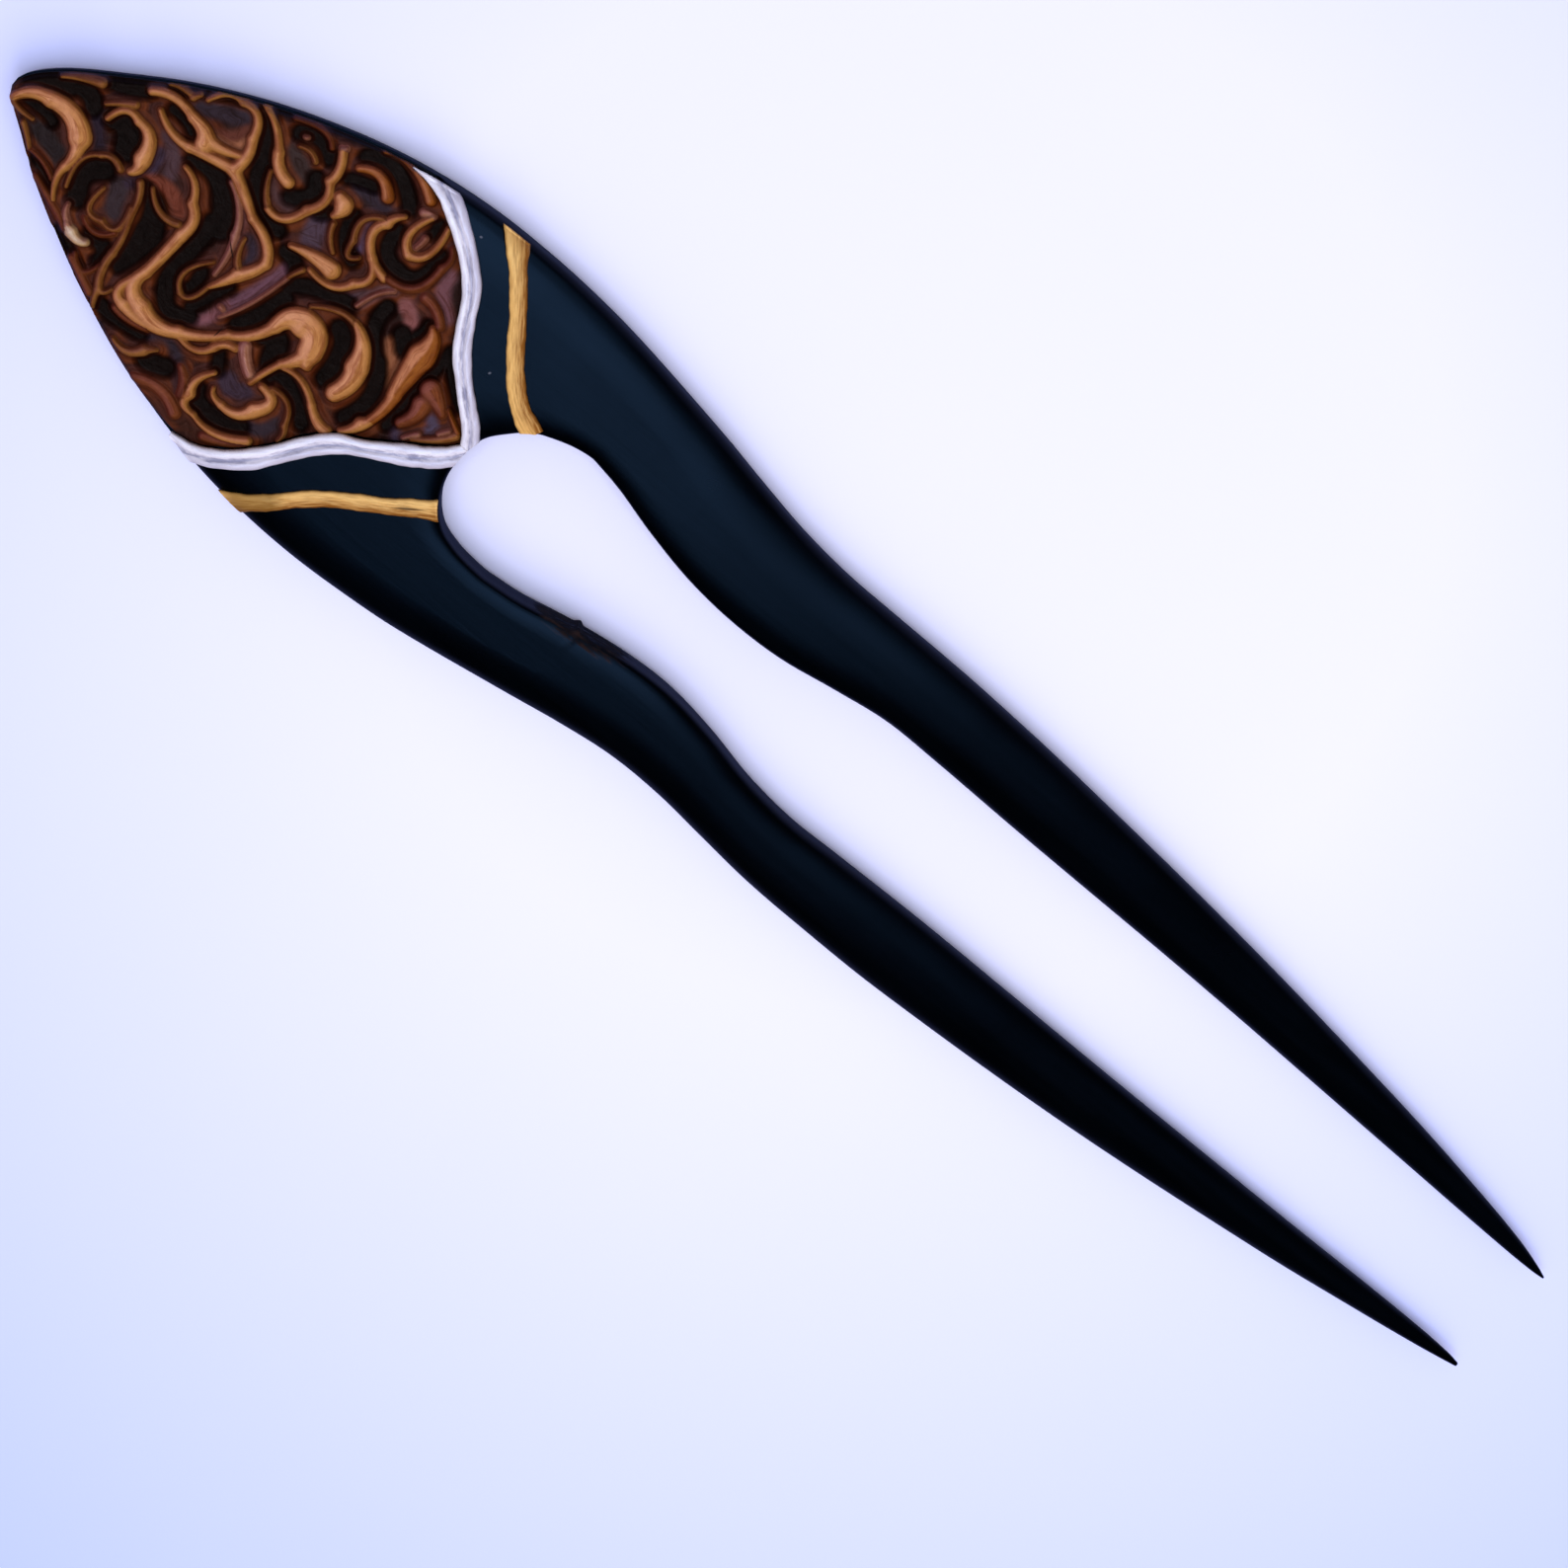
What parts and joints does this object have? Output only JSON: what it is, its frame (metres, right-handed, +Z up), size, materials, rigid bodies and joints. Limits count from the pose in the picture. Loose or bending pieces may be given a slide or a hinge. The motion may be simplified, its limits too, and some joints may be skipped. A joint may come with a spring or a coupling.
{
  "type": "hair fork",
  "caption": "Wooden hair fork with two tapering prongs, a kite-shaped head with a swirled relief panel, silver cords and gold bands.",
  "frame": {"origin": "centre of the bounding box, on the flat underside that the fork rests on", "axes": "+X runs from the head to the points of the prongs, +Y to the left prong, +Z up out of the decorated face"},
  "size_m": [0.1604, 0.032, 0.006],
  "materials": {
    "black_wood": "satin black stain and varnish",
    "swirled_clay": "satin varnish over copper and dark brown",
    "pearl_silver": "pearl silver paint",
    "antique_gold": "antique gold paint"
  },
  "bodies": {
    "root": {"fork_body": "black_wood", "swirl_panel": "swirled_clay", "silver_cord_left": "pearl_silver", "silver_cord_right": "pearl_silver", "gold_band_left": "antique_gold", "gold_band_right": "antique_gold"}
  },
  "joints": []
}
